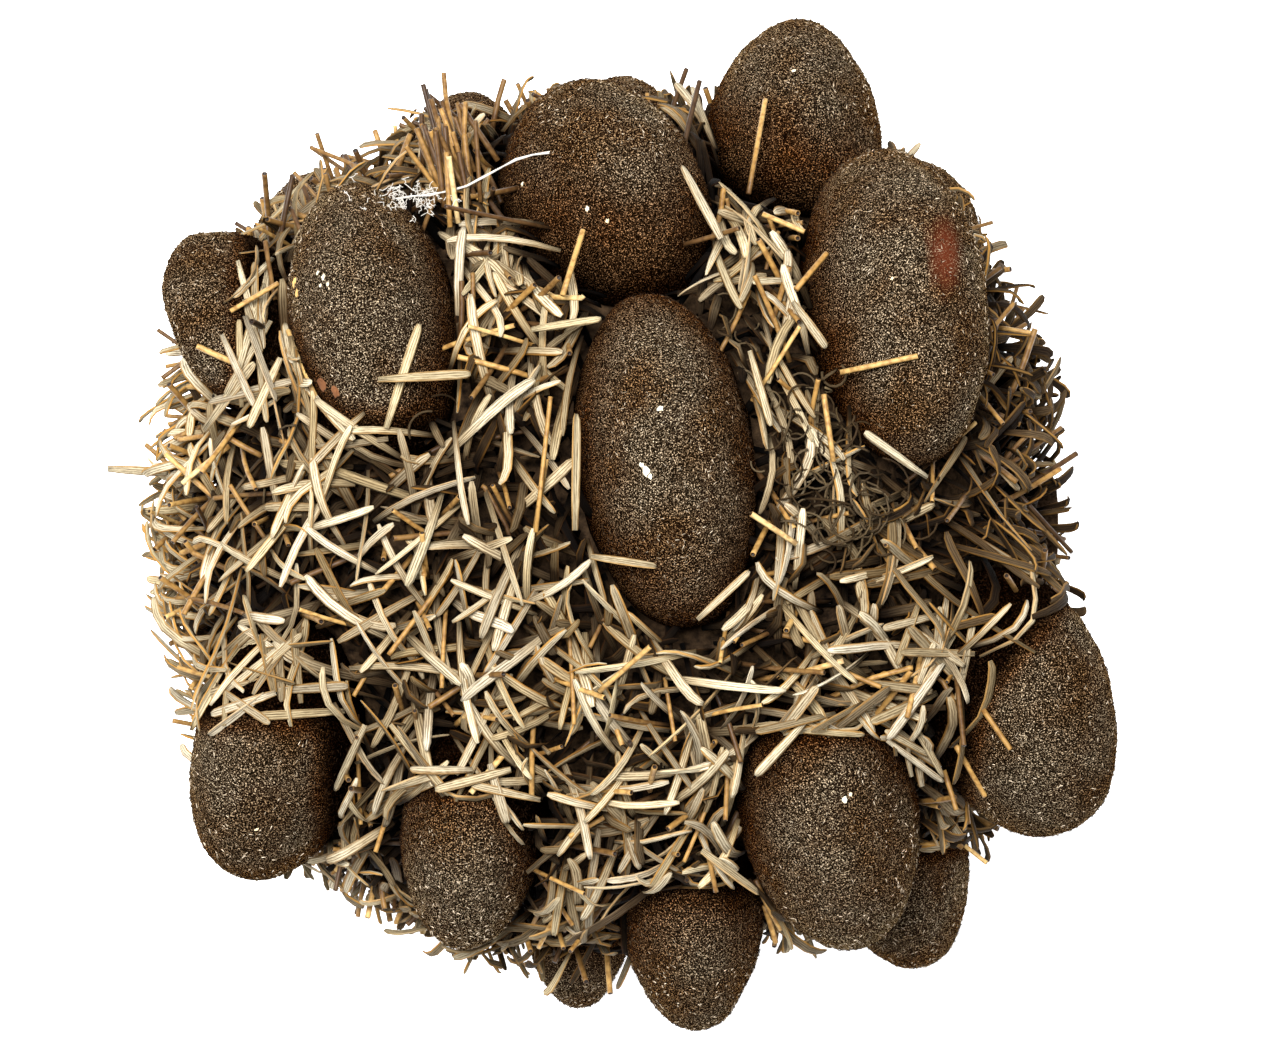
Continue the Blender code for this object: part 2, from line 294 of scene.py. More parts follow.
def corner_array(mesh):
    corners = np.empty(len(mesh.vertices) * 3)
    mesh.vertices.foreach_get("co", corners)
    return corners.reshape(-1, 3)


def mesh_object(name, corners, faces):
    mesh = bpy.data.meshes.new(name)
    mesh.from_pydata(corners.tolist(), [], faces.tolist())
    piece = bpy.data.objects.new(name, mesh)
    bpy.context.scene.collection.objects.link(piece)
    return piece


def follicle_skin(name):
    """The follicle's solid from the frame, merged, rounded and made slightly lumpy."""
    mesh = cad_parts[name].data.copy()
    skin = bpy.data.objects.new(name + "_velvet", mesh)
    bpy.context.scene.collection.objects.link(skin)
    mesh.materials.clear()
    select_only(skin)
    bpy.ops.object.mode_set(mode="EDIT")
    bpy.ops.mesh.select_all(action="SELECT")
    bpy.ops.mesh.remove_doubles(threshold=0.01 * MM)
    bpy.ops.mesh.tris_convert_to_quads(face_threshold=math.radians(60), shape_threshold=math.radians(80))
    bpy.ops.object.mode_set(mode="OBJECT")
    rounding = skin.modifiers.new("rounding", "SUBSURF")
    rounding.levels = rounding.render_levels = 2
    bpy.ops.object.modifier_apply(modifier="rounding")
    normals = [vertex.normal.copy() for vertex in mesh.vertices]
    for vertex, normal in zip(mesh.vertices, normals):
        lump = noise.noise(vertex.co / (4.5 * MM)) + 0.5 * noise.noise(vertex.co / (1.8 * MM))
        vertex.co += normal * (FOLLICLE_SWELL + FOLLICLE_LUMP * lump)
    bpy.ops.object.shade_smooth()
    return skin


def slip_hairs(skin, count, draw):
    """Corners and faces of short hairs that lie at a low angle on the outer side of a follicle."""
    mesh = skin.data
    mesh.calc_loop_triangles()
    corners = corner_array(mesh)
    triangles = np.empty(len(mesh.loop_triangles) * 3, dtype=np.int32)
    mesh.loop_triangles.foreach_get("vertices", triangles)
    triangles = triangles.reshape(-1, 3)
    a, b, c = (corners[triangles[:, side]] for side in range(3))
    cross = np.cross(b - a, c - a)
    area = np.linalg.norm(cross, axis=1)
    outward = cross / area[:, None]
    middle = (a + b + c) / 3
    weight = area * (head_share(middle) > 0.9)
    pick = draw.choice(len(weight), count, p=weight / weight.sum())
    u, v = draw.random(count), draw.random(count)
    over = u + v > 1
    u[over], v[over] = 1 - u[over], 1 - v[over]
    root = a[pick] + (b - a)[pick] * u[:, None] + (c - a)[pick] * v[:, None]
    normal = outward[pick]
    way = np.cross(normal, draw.normal(size=(count, 3)))
    way /= np.linalg.norm(way, axis=1)[:, None]
    side = np.cross(normal, way)
    rise = draw.uniform(*FELT_HAIR_RISE, count)[:, None]
    length = draw.uniform(*FELT_HAIR_LENGTH, count)[:, None]
    half = FELT_HAIR_WIDTH / 2
    tip = root + (way * np.cos(rise) + normal * np.sin(rise)) * length
    base = root - normal * half
    hair = np.stack([base + side * half, base - side * half, root + normal * half * 1.3, tip], axis=1)
    faces = np.array([(0, 1, 2), (0, 2, 3), (2, 1, 3), (1, 0, 3)])
    faces = (np.arange(count)[:, None, None] * 4 + faces[None]).reshape(-1, 3)
    return hair.reshape(-1, 3), faces


def painted_light_value(name, corners):
    """Painted shade on the felt: 0, darkest, at a follicle's seat and where florets cover it, 1, unshaded,
    over the open part of its dome.
    """
    painted_light_level = np.clip((head_share(corners) - 0.82) / 0.22, 0, 1)
    for x, y, over_x, over_y in BURIED_PARTS.get(name, ()):
        beyond = (corners[:, 0] - x * MM) * over_x + (corners[:, 1] - y * MM) * over_y
        painted_light_level *= np.clip(0.5 - beyond / BURIED_REACH, 0, 1)
    return painted_light_level


def felt_material():
    """Velvet of short hairs: pale and dark flecks over red-brown, redder towards the seat and darkened there
    and under florets with painted shade; paler on its flanks with a painted rim glow.
    """
    material, tree, shader = new_material("follicle_felt")
    grain = noise_value(tree, 6200, 2, 0.85)
    flecks = ramp_node(tree, grain, [(0.48, (0.003, 0.002, 0.001)), (0.54, (0.018, 0.010, 0.005)),
                                     (0.595, (0.105, 0.070, 0.038)), (0.665, (0.58, 0.465, 0.315))])
    patch = noise_value(tree, 130, 3)
    tint = ramp_node(tree, patch, [(0.35, (0.70, 0.52, 0.36)), (0.60, (1.0, 1.0, 1.0))])
    tinted = mix_colour(tree, "MULTIPLY", 1.0, flecks, tint)
    # Painted rim glow: the felt is made paler on the follicles' steep sides, standing in for light on their
    # rims.
    painted_rim_glow = ramp_node(tree, carried_value(tree, "painted_rim_glow"),
                      [(0.0, (1.0, 1.0, 1.0)), (1.0, (1.75, 1.55, 1.15))])
    tinted = mix_colour(tree, "MULTIPLY", 1.0, tinted, painted_rim_glow)
    rusted = mix_colour(tree, "MIX", carried_value(tree, "rust"), tinted, (0.085, 0.018, 0.007, 1))
    # Painted shade: the felt darkens towards the seat and where florets cover it; its red cast there is the
    # felt's own colour.
    painted_seat_shade = ramp_node(tree, carried_value(tree, "painted_light_level"), [
        (0.0, (0.05, 0.03, 0.02)), (0.5, (0.62, 0.42, 0.28)), (1.0, (1.0, 1.0, 1.0))])
    give_colour(tree, shader, mix_colour(tree, "MULTIPLY", 1.0, rusted, painted_seat_shade), 1.0, 0.0)
    add_bump(tree, grain, shader, 0.2 * MM, 0.8)
    return material


def hair_material():
    material, tree, shader = new_material("felt_hairs")
    colour = ramp_node(tree, carried_value(tree, "tone"), [
        (0.0, (0.004, 0.002, 0.001)), (0.45, (0.020, 0.011, 0.006)), (0.75, (0.10, 0.068, 0.038)),
        (1.0, (0.50, 0.41, 0.30))])
    give_colour(tree, shader, colour, 0.9, 0.0)
    return material


draw = np.random.default_rng(20)
felt = felt_material()
hairs_felt = hair_material()
skin_corners, skin_faces, skin_owner = [], [], []
for name in FOLLICLE_NAMES:
    skin = follicle_skin(name)
    skin.data.materials.append(felt)
    corners = corner_array(skin.data)
    start = sum(len(part) for part in skin_corners)
    skin_faces += [[start + corner for corner in face.vertices] for face in skin.data.polygons]
    skin_owner += [name] * len(skin.data.polygons)
    skin_corners.append(corners)
    # Painted shade level of the felt: low at the seat and under florets.
    point_value(skin.data, "painted_light_level", painted_light_value(name, corners))
    # Painted rim glow on the steep sides of the open dome.
    slope = np.array([vertex.normal.z for vertex in skin.data.vertices])
    point_value(skin.data, "painted_rim_glow", np.clip((0.45 - slope) / 0.45, 0, 1) * painted_light_value(name, corners))
    x, y, half_x, half_y = RUST_PATCH
    away = np.hypot((corners[:, 0] - x) / half_x, (corners[:, 1] - y) / half_y)
    point_value(skin.data, "rust", 0.75 * np.clip(1.6 - away, 0, 1) * (name == "follicle_07"))
    corners, faces = slip_hairs(skin, FELT_HAIRS, draw)
    hairs = mesh_object(name + "_hairs", corners, faces)
    hairs.data.materials.append(hairs_felt)
    # Painted shade: hairs darken towards the seat and under florets.
    tone = draw.random(FELT_HAIRS) * (0.2 + 0.8 * painted_light_value(name, corners[::4]))
    point_value(hairs.data, "tone", np.repeat(tone, 4))
    select_only(skin)
    hairs.select_set(True)
    bpy.ops.object.join()
    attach(skin, "root")
    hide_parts(name)


# Perianth straps: the dry flat flower parts that cover the head, grey-tan, ribbed lengthwise, with thin
# amber edges and blunt tips. One strap is modelled, then copied, each copy bent, hooked and turned. Where
# the head has grown over part of a follicle, the straps rise over it.
STRAP_STATIONS = (0.0, 0.24, 0.46, 0.66, 0.84, 0.95, 1.0)
STRAP_WIDTHS = (0.62, 0.86, 0.96, 1.0, 1.0, 0.88, 0.46)
STRAP_SECTION = ((-1, 0.05), (-0.72, 0.52), (-0.24, 0.34), (0.24, 0.34), (0.72, 0.52), (1, 0.05),
                 (0.50, -0.55), (-0.50, -0.55))
UNDER_STATIONS = (0.0, 0.36, 0.70, 0.93, 1.0)
UNDER_WIDTHS = (0.70, 0.95, 1.0, 0.80, 0.35)
UNDER_SECTION = ((-1, 0), (-0.55, 0.55), (0.55, 0.55), (1, 0), (0.50, -0.60), (-0.50, -0.60))
GOLDEN_ANGLE = math.pi * (3 - math.sqrt(5))
MOUND_REACH = 8 * MM
# Shares of the head's size: where a buried follicle starts a mound, its foot and its highest top.
MOUND_START = 0.95
MOUND_BASE = 0.955
MOUND_TOP = 1.17
STALK_CLEARANCE = 1.6 * MM
STALK_REACH = 8 * MM
TABLE_CLEARANCE = 0.5 * MM
# The share of the head's size where florets are darkest in painted shade, how much further out they are in
# the open, and how far a bare follicle's painted shade reaches over them.
DEEP_SHARE = 0.86
DEEP_REACH = 0.105
SHADE_REACH = 2.4 * MM
# An outward direction that rises more than this shows from above.
FACES_UP = 0.15
# How far a follicle is looked for: down from a floret, and (in millimetres) in from outside it.
LOOK_DOWN = 20 * MM
LOOK_IN = 25
# How florets find room: how many tries, how many of them at full length, the length's share after that,
# and the part of a full turn that each new heading swings by.
TOP_PATIENCE = (10, 6, 0.7, 9)
UNDER_PATIENCE = (8, 4, 0.75, 7)
# Places where the florets are worn shorter, seen from above: middle and half sizes in millimetres.
CROPPED_PLACES = ((-3, 46, 12, 9), (-28, -42, 12, 9), (-26, 40, 9, 9))
# Places where few straps stand, seen from above: middle and half sizes in millimetres, and the share
# of the straps that is left there.
THIN_PLACES = (
    (21, 7.5, 5.5, 8.5, 0.30),
    (4, 41, 6, 8, 0.55),
    (2.5, 25, 10, 5, 0.15),
    (-6.5, 6, 3.9, 10, 0.25),
    (-25, 10.5, 7, 4, 0.40),
    (40, -10, 5, 3.5, 0.45),
    (12, 33, 4, 6, 0.6),
    (-17, 30, 3, 6, 0.5),
    (-36, -17, 8, 5, 0.55),
    (16, -20.5, 6, 2.5, 0.6),
)

skins_tree = BVHTree.FromPolygons([Vector(corner) for part in skin_corners for corner in part], skin_faces)


def is_buried(name, point):
    return any((point[0] / MM - x) * over_x + (point[1] / MM - y) * over_y > 0
               for x, y, over_x, over_y in BURIED_PARTS.get(name, ()))


def mound_points():
    """Buried follicle corners that stand out of the head: their places at share 1, and their shares."""
    found = [corner for name, part in zip(FOLLICLE_NAMES, skin_corners) for corner in part[::2]
             if is_buried(name, corner) and head_share(corner) > MOUND_START]
    found = np.array(found)
    share = head_share(found)
    return (found - SPIKE_MIDDLE) / share[:, None], np.minimum(share, MOUND_TOP)


mound_places, mound_shares = mound_points()


def mound_growth(points):
    """How many times further out than the even head the florets stand at each point."""
    places = (points - SPIKE_MIDDLE) / head_share(points)[..., None]
    flat = places.reshape(-1, 3)
    growth = np.ones(len(flat))
    for start in range(0, len(flat), 1500):
        distance = np.linalg.norm(flat[start:start + 1500, None] - mound_places[None], axis=2)
        near = np.clip(1 - distance / MOUND_REACH, 0, 1)
        near = near * near * (3 - 2 * near)
        growth[start:start + 1500] += ((mound_shares - MOUND_BASE)[None] * near).max(axis=1)
    return growth.reshape(places.shape[:-1])


def model_strap(section, stations):
    """A strap one unit long and two units wide, extruded ring by ring from its section."""
    deselect_all()
    bpy.ops.mesh.primitive_circle_add(vertices=len(section), radius=1, fill_type="NGON")
    strap = bpy.context.object
    for vertex, (across, height) in zip(strap.data.vertices, section):
        vertex.co = (0, across, height)
    extrude_rings(stations)
    close_outward()
    return strap


def template_arrays(template):
    """A template's corners and its faces, as three-cornered faces, and the template removed."""
    form = bmesh.new()
    form.from_mesh(template.data)
    bmesh.ops.triangulate(form, faces=form.faces)
    corners = np.array([vertex.co for vertex in form.verts])
    faces = np.array([[vertex.index for vertex in face.verts] for face in form.faces])
    form.free()
    bpy.data.objects.remove(template)
    return corners, faces


def unit(vectors):
    return vectors / np.linalg.norm(vectors, axis=-1, keepdims=True)


def head_lattice(count, share, start=0.5):
    """Golden-angle points on the head's surface at a share of its size, with outward directions."""
    step = np.arange(count) + start
    along = 1 - 2 * step / (count + 1)
    angle = step * GOLDEN_ANGLE
    x = along * HEAD_HALF_LENGTH
    ring = HEAD_RADIUS * (1 - np.abs(along) ** HEAD_ROUNDNESS) ** (1 / HEAD_ROUNDNESS)
    points = np.stack([x, ring * np.sin(angle), ring * np.cos(angle)], axis=1) * share[:, None]
    outward = unit(points / np.array([HEAD_HALF_LENGTH, HEAD_RADIUS, HEAD_RADIUS]) ** 2)
    return points + SPIKE_MIDDLE, outward


def comb_heading(root, outward, patch, seed, spread, draw):
    """Directions along the surface, alike among neighbours, then spread at random, but off the stalk."""
    side = unit(np.cross(outward, np.array([0.31, 0.52, 0.79])))
    other = np.cross(outward, side)
    turn = np.array([noise.noise(Vector(point) / patch + Vector((seed, 0, 0))) for point in root])
    turn = turn * 2 * math.tau + draw.normal(0, spread, len(root))
    heading = side * np.cos(turn)[:, None] + other * np.sin(turn)[:, None]
    by_stalk = (root[:, 0] > STALK_START) & (off_axis(root) < STALK_RADIUS + STALK_REACH)
    heading[by_stalk] = unit((root - SPIKE_MIDDLE)[by_stalk] * np.array([0.0, 1.0, 1.0]))
    return heading


def turned(heading, outward, angle):
    return heading * np.cos(angle)[:, None] + np.cross(outward, heading) * np.sin(angle)[:, None]


def floret_lines(root, outward, heading, habit, stations):
    """Middle lines of florets, before the head's surface presses on them."""
    place = root.copy()
    lines = [place]
    before = 0.0
    for station in stations[1:]:
        middle = (station + before) / 2
        lean = habit["lean"] + (habit["last_lean"] - habit["lean"]) * middle ** 1.2
        turn = habit["bend"] * middle + habit["hook"] * max(middle - 0.7, 0) / 0.3
        way = turned(heading, outward, turn)
        way = outward * np.cos(lean)[:, None] + way * np.sin(lean)[:, None]
        place = place + way * (habit["length"] * (station - before))[:, None]
        lines.append(place)
        before = station
    return np.stack(lines, axis=1)


def pressed(lines, limit, mounds):
    """Press lines under the head's surface, then raise them over the mounds."""
    share = head_share(lines)
    kept_in = np.minimum(share, limit[:, None]) / share
    offset = (lines - SPIKE_MIDDLE) * kept_in[..., None]
    lines = offset + SPIKE_MIDDLE
    if mounds:
        lines = SPIKE_MIDDLE + offset * mound_growth(lines)[..., None]
    return lines


def covers_bare(point):
    """Whether a bare follicle lies close under a point, seen from above."""
    hit, normal, face, _ = skins_tree.ray_cast(Vector(point), Vector((0, 0, -1)), LOOK_DOWN)
    return hit is not None and normal.z > 0.1 and not is_buried(skin_owner[face], hit)


def laid_clear(line, outward, clearance):
    """Lift a line off buried follicles; nothing if it meets or covers a bare one or meets the table."""
    outward = Vector(outward)
    if outward.z > FACES_UP and any(covers_bare(point) for point in line[2:]):
        return None
    laid = []
    for point in line:
        start = Vector(point) + outward * LOOK_IN * MM
        hit, _, face, _ = skins_tree.ray_cast(start, -outward, LOOK_IN * MM + clearance)
        if hit is not None:
            if not is_buried(skin_owner[face], hit):
                return None
            point = hit + outward * clearance
        laid.append(point)
    laid = np.array([tuple(point) for point in laid])
    laid[1:-1] = laid[1:-1] / 2 + (laid[2:] + laid[:-2]) / 4
    return None if laid[:, 2].min() < TABLE_CLEARANCE else laid


def tangents(lines):
    ways = np.empty_like(lines)
    ways[:, 1:-1] = lines[:, 2:] - lines[:, :-2]
    ways[:, 0] = lines[:, 1] - lines[:, 0]
    ways[:, -1] = lines[:, -1] - lines[:, -2]
    return unit(ways)


def grow(outward, heading, habit, stations, patience, shape, accept):
    """Middle lines of florets: each tries several headings, then less length, until a line is accepted."""
    tries, full_length_tries, shorter, swings = patience
    kept = np.zeros(len(outward), dtype=bool)
    lines = np.zeros((len(outward), len(stations), 3))
    for tried in range(tries):
        left = np.flatnonzero(~kept)
        trial = {name: values[left] for name, values in habit.items()}
        if tried >= full_length_tries:
            trial["length"] = trial["length"] * shorter
        swing = np.full(len(left), (1 if tried % 2 else -1) * ((tried + 1) // 2) * math.tau / swings)
        way = turned(heading[left], outward[left], swing)
        for number, line in zip(left, shape(left, way, trial)):
            line = accept(number, line)
            if line is not None:
                lines[number] = line
                kept[number] = True
    return kept, lines


def grow_top_straps(root, outward, heading, habit, limit, stations):
    """Straps that lie on the head and rise over its mounds."""
    def shape(left, way, trial):
        return pressed(floret_lines(root[left], outward[left], way, trial, stations), limit[left], True)

    def accept(number, line):
        return laid_clear(line, outward[number], habit["layer"][number])

    return grow(outward, heading, habit, stations, TOP_PATIENCE, shape, accept)


def clear_distance(points):
    """Distance from the nearest point to a follicle, below zero inside it."""
    distances = []
    for point in points:
        spot, normal, _, distance = skins_tree.find_nearest(Vector(point))
        distances.append(distance if (Vector(point) - spot).dot(normal) > 0 else -distance)
    return min(distances)


def cut_short(root, outward, heading, habit, limit, stations):
    """Straight florets' habit with each one short enough to end under its limit."""
    habit = {name: values.copy() for name, values in habit.items()}
    for _ in range(6):
        over = head_share(floret_lines(root, outward, heading, habit, stations)[:, -1]) > limit
        habit["length"][over] *= 0.86
    return habit


def grow_under_florets(root, outward, heading, habit, limit, stations, margin, straight=False):
    """Florets that keep clear of the follicles and the table; straight ones are cut, not pressed."""
    def shape(left, way, trial):
        if straight:
            trial = cut_short(root[left], outward[left], way, trial, limit[left], stations)
            return floret_lines(root[left], outward[left], way, trial, stations)
        return pressed(floret_lines(root[left], outward[left], way, trial, stations), limit[left], False)

    def accept(number, line):
        if line[:, 2].min() < TABLE_CLEARANCE or clear_distance(line[1:]) < margin:
            return None
        shows = outward[number][2] >= FACES_UP
        return None if shows and any(covers_bare(point) for point in line[2:]) else line

    return grow(outward, heading, habit, stations, UNDER_PATIENCE, shape, accept)


def ribbon_copies(template, stations, lines, outward, half_width, thickness, fold, roll, roll_more):
    """Corners and faces of a one-unit template's copies, carried along the middle lines."""
    corners, faces = template
    station_of = np.argmin(np.abs(corners[:, :1] - np.array(stations)[None]), axis=1)
    middle = lines[:, station_of]
    way = tangents(lines)[:, station_of]
    across = unit(np.cross(way, outward[:, None, :]))
    up = np.cross(across, way)
    angle = (roll[:, None] + roll_more[:, None] * corners[None, :, 0])[..., None]
    across, up = across * np.cos(angle) + up * np.sin(angle), up * np.cos(angle) - across * np.sin(angle)
    wide = corners[None, :, 1] * half_width[:, station_of]
    narrow = half_width[:, station_of] / half_width.max(axis=1)[:, None]
    high = corners[None, :, 2] * thickness[:, None] * narrow
    high = high + np.abs(corners[None, :, 1]) * half_width[:, station_of] * fold[:, None]
    placed = middle + across * wide[..., None] + up * high[..., None]
    all_faces = (np.arange(len(lines))[:, None, None] * len(corners) + faces[None]).reshape(-1, 3)
    return placed.reshape(-1, 3), all_faces


def strap_material():
    """Dry strap: ribbed and streaked lengthwise, pale, amber at its very edge, with painted shade at its root
    and deep in the head.
    """
    material, tree, shader = new_material("dry_strap")
    tone, across, along = (carried_value(tree, name) for name in ("tone", "across", "along"))
    body = ramp_node(tree, tone, [(0.0, (0.012, 0.007, 0.004)), (0.30, (0.070, 0.048, 0.027)),
                                  (0.55, (0.22, 0.182, 0.122)), (0.80, (0.45, 0.40, 0.295)),
                                  (1.0, (0.61, 0.56, 0.435))])
    place = tree.nodes.new("ShaderNodeCombineXYZ")
    tree.links.new(math_value(tree, "MULTIPLY", across, 4.6), place.inputs["X"])
    tree.links.new(math_value(tree, "MULTIPLY", along, 1.1), place.inputs["Y"])
    tree.links.new(math_value(tree, "MULTIPLY", tone, 57.0), place.inputs["Z"])
    streak = noise_value(tree, 1.8, 4, 0.7, place.outputs["Vector"])
    rib = math_value(tree, "SINE", math_value(tree, "ADD", math_value(tree, "MULTIPLY", across, 13.0),
                                              math_value(tree, "MULTIPLY", streak, 5.0)), 0.0)
    relief = math_value(tree, "ADD", math_value(tree, "MULTIPLY", rib, 0.09), streak)
    shade = ramp_node(tree, relief, [(0.36, (0.20, 0.16, 0.12)), (0.46, (0.58, 0.53, 0.46)),
                                     (0.53, (0.90, 0.88, 0.84)), (0.66, (1.12, 1.12, 1.10))])
    streaked = mix_colour(tree, "MULTIPLY", 0.9, body, shade)
    edge = ramp_node(tree, math_value(tree, "ABSOLUTE", across, 0.0), [(0.62, (0, 0, 0)), (0.88, (1, 1, 1))])
    amber = math_value(tree, "MULTIPLY", edge, carried_value(tree, "amber"))
    edged = mix_colour(tree, "MIX", amber, streaked, (0.33, 0.175, 0.042, 1))
    # Painted shade: straps darken deep in the head and near bare follicles.
    painted_deep_shade = ramp_node(tree, carried_value(tree, "depth"), [
        (0.0, (0.008, 0.005, 0.003)), (0.45, (0.075, 0.054, 0.036)), (0.8, (0.62, 0.56, 0.48)),
        (1.0, (1.0, 1.0, 1.0))])
    cast = ramp_node(tree, carried_value(tree, "warmth"),
                     [(0.0, (0.97, 0.97, 1.0)), (1.0, (1.0, 0.94, 0.79))])
    cast_edged = mix_colour(tree, "MULTIPLY", 1.0, edged, cast)
    give_colour(tree, shader, mix_colour(tree, "MULTIPLY", 1.0, cast_edged, painted_deep_shade), 0.8, 0.05)
    add_bump(tree, relief, shader, 0.12 * MM, 0.9)
    return material


def end_mix(x, at_start, at_end, start=33 * MM, reach=9 * MM):
    """Values that change towards the stalk end of the head."""
    share = np.clip((x - start) / reach, 0, 1)
    return at_start * (1 - share) + at_end * share


def painted_depth_shade(lines, top):
    """Painted shade on florets: 1 where a floret shows at the top of the head, 0 deep in it, and darker near
    a bare follicle; top is the head's growth there.
    """
    depth = np.clip((head_share(lines) / top - DEEP_SHARE) / DEEP_REACH, 0, 1)
    for number, line in enumerate(lines):
        for station, point in enumerate(line):
            spot, _, face, distance = skins_tree.find_nearest(Vector(point))
            if not is_buried(skin_owner[face], spot):
                depth[number, station] *= min(0.4 + 0.6 * distance / SHADE_REACH, 1)
    return depth


def off_axis(points):
    return np.hypot(points[:, 1] - SPIKE_MIDDLE[1], points[:, 2] - SPIKE_MIDDLE[2])


def clear_of_stalk(points):
    return (points[:, 0] < STALK_START) | (off_axis(points) > STALK_RADIUS + STALK_CLEARANCE)


def close_cropped(points):
    """1 in the places where the florets are worn shorter, 0 elsewhere."""
    cropped = np.zeros(len(points))
    for x, y, half_x, half_y in CROPPED_PLACES:
        away = np.hypot((points[:, 0] / MM - x) / half_x, (points[:, 1] / MM - y) / half_y)
        cropped = np.maximum(cropped, np.clip(2 * (1.2 - away), 0, 1))
    return cropped


def left_standing(points, draw):
    """Which florets are left: none in the stalk and few in the thin places."""
    left = clear_of_stalk(points)
    for x, y, half_x, half_y, share in THIN_PLACES:
        inside = np.hypot((points[:, 0] / MM - x) / half_x, (points[:, 1] / MM - y) / half_y) < 1
        left &= ~inside | (points[:, 2] < SPIKE_MIDDLE[2]) | (draw.random(len(points)) < share)
    return left


def plant_straps(name, template, stations, widths, lines, outward, depth, tone, amber, draw):
    """Copies of a strap along the middle lines, as one piece."""
    count = len(lines)
    half_width = draw.uniform(*STRAP_HALF_WIDTH, count)[:, None] * np.array(widths)[None]
    fold = np.where(draw.random(count) < 0.3, draw.uniform(0.15, 0.6, count), draw.uniform(-0.3, 0.1, count))
    roll = draw.normal(0, 0.35, count) + math.pi * (draw.random(count) < 0.4)
    thickness = draw.uniform(*STRAP_THICKNESS, count)
    corners, faces = ribbon_copies(template, stations, lines, outward, half_width, thickness, fold, roll,
                                   draw.normal(0, 0.6, count))
    straps = mesh_object(name, corners, faces)
    each = len(template[0])
    station_of = np.argmin(np.abs(template[0][:, :1] - np.array(stations)[None]), axis=1)
    point_value(straps.data, "tone", np.repeat(np.clip(tone, 0.04, 0.97), each))
    point_value(straps.data, "amber", np.repeat(amber, each))
    point_value(straps.data, "warmth", np.repeat(np.clip(draw.normal(0.5, 0.3, count), 0, 1), each))
    point_value(straps.data, "across", np.tile(template[0][:, 1], count))
    point_value(straps.data, "along", np.tile(template[0][:, 0] * 3, count))
    # The depth attribute carries painted shade.
    point_value(straps.data, "depth", depth[:, station_of].ravel())
    straps.data.materials.append(strap_skin)
    straps.data.shade_smooth()
    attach(straps, "root")
    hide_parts("flower_head")


TOP_STRAPS = 5400
TOP_SHARE = 0.76
MOUND_SHARE = 0.82
UNDER_STRAPS = 3300
STRAP_HALF_WIDTH = (0.37 * MM, 0.60 * MM)
STRAP_THICKNESS = (0.20 * MM, 0.36 * MM)
strap_skin = strap_material()
draw = np.random.default_rng(31)
root, outward = head_lattice(TOP_STRAPS, draw.uniform(0.86, 0.925, TOP_STRAPS))
share = np.where(mound_growth(root) > 1.015, MOUND_SHARE, TOP_SHARE)
standing = (draw.random(TOP_STRAPS) < share) & left_standing(root, draw)
root, outward = root[standing], outward[standing]
count = len(root)
end_x = root[:, 0] + draw.normal(0, 3 * MM, count)
heading = comb_heading(root, outward, 8 * MM, 3.0, 1.3, draw)
# At the left end of the head the straps point away along the spike.
leftward = np.clip((-36 * MM - root[:, 0]) / (8 * MM), 0, 0.85)[:, None] * np.array([-1.0, 0, 0])
heading = heading * (1 + leftward[:, :1]) + leftward
heading = unit(heading - outward * np.einsum("ij,ij->i", heading, outward)[:, None])
# 1 on top of the head, where the straps lie, and 0 on its sides, where they stand.
flat = np.clip((outward[:, 2] - 0.10) / 0.45, 0, 1)
stand = draw.uniform(0.35, 1.05, count) * (1 - flat) + draw.uniform(0.95, 1.35, count) * flat
last_stand = stand + draw.normal(0.15, 0.25, count) * (1 - flat) + draw.uniform(0.3, 0.5, count) * flat
habit = {
    "length": end_mix(end_x, draw.uniform(8.5 * MM, 14 * MM, count), draw.uniform(6 * MM, 9.5 * MM, count)),
    "lean": end_mix(end_x, stand, draw.uniform(0.15, 0.9, count)),
    "last_lean": end_mix(end_x, last_stand, draw.uniform(0.2, 1.7, count)),
    "bend": draw.normal(0, 0.30, count),
    "hook": (np.where(draw.random(count) < 0.22, draw.choice((-1.0, 1.0), count), 0)
             * draw.uniform(0.3, 1.3, count)),
    "layer": draw.uniform(0.35 * MM, 1.9 * MM, count),
}
limit = 0.935 + 0.085 * draw.random(count) ** 1.2 + 0.03 * (1 - flat) * draw.random(count)
limit -= 0.045 * close_cropped(root)
habit = cut_short(root, outward, heading, habit, limit + 2 * flat, STRAP_STATIONS)
kept, lines = grow_top_straps(root, outward, heading, habit, limit, STRAP_STATIONS)
lines, outward, end_x = lines[kept], outward[kept], end_x[kept]
count = len(lines)
# Straps on the sides and along both edges of the head are darkened with painted shade.
painted_side_shade = 0.20 * (1 - np.clip((outward[:, 2] - 0.10) / 0.45, 0, 1))
painted_side_shade += 0.20 * np.clip((np.abs(lines[:, -1, 1] + 4 * MM) - 34 * MM) / (8 * MM), 0, 1)
tone = end_mix(end_x, draw.normal(0.86, 0.14, count) - painted_side_shade, draw.normal(0.16, 0.15, count), 29 * MM, 7 * MM)
amber = np.clip(draw.normal(0.62, 0.3, count) + 0.5 * (lines[:, -1, 0] < -42 * MM), 0, 1)
amber *= end_mix(end_x, 1.0, 0.3)
depth = painted_depth_shade(lines, mound_growth(lines))
strap_template = template_arrays(model_strap(STRAP_SECTION, STRAP_STATIONS))
for part, chosen in enumerate(np.array_split(np.arange(count), 3), 1):
    plant_straps(f"perianth_straps_{part}", strap_template, STRAP_STATIONS, STRAP_WIDTHS, lines[chosen],
                 outward[chosen], depth[chosen], tone[chosen], amber[chosen], draw)

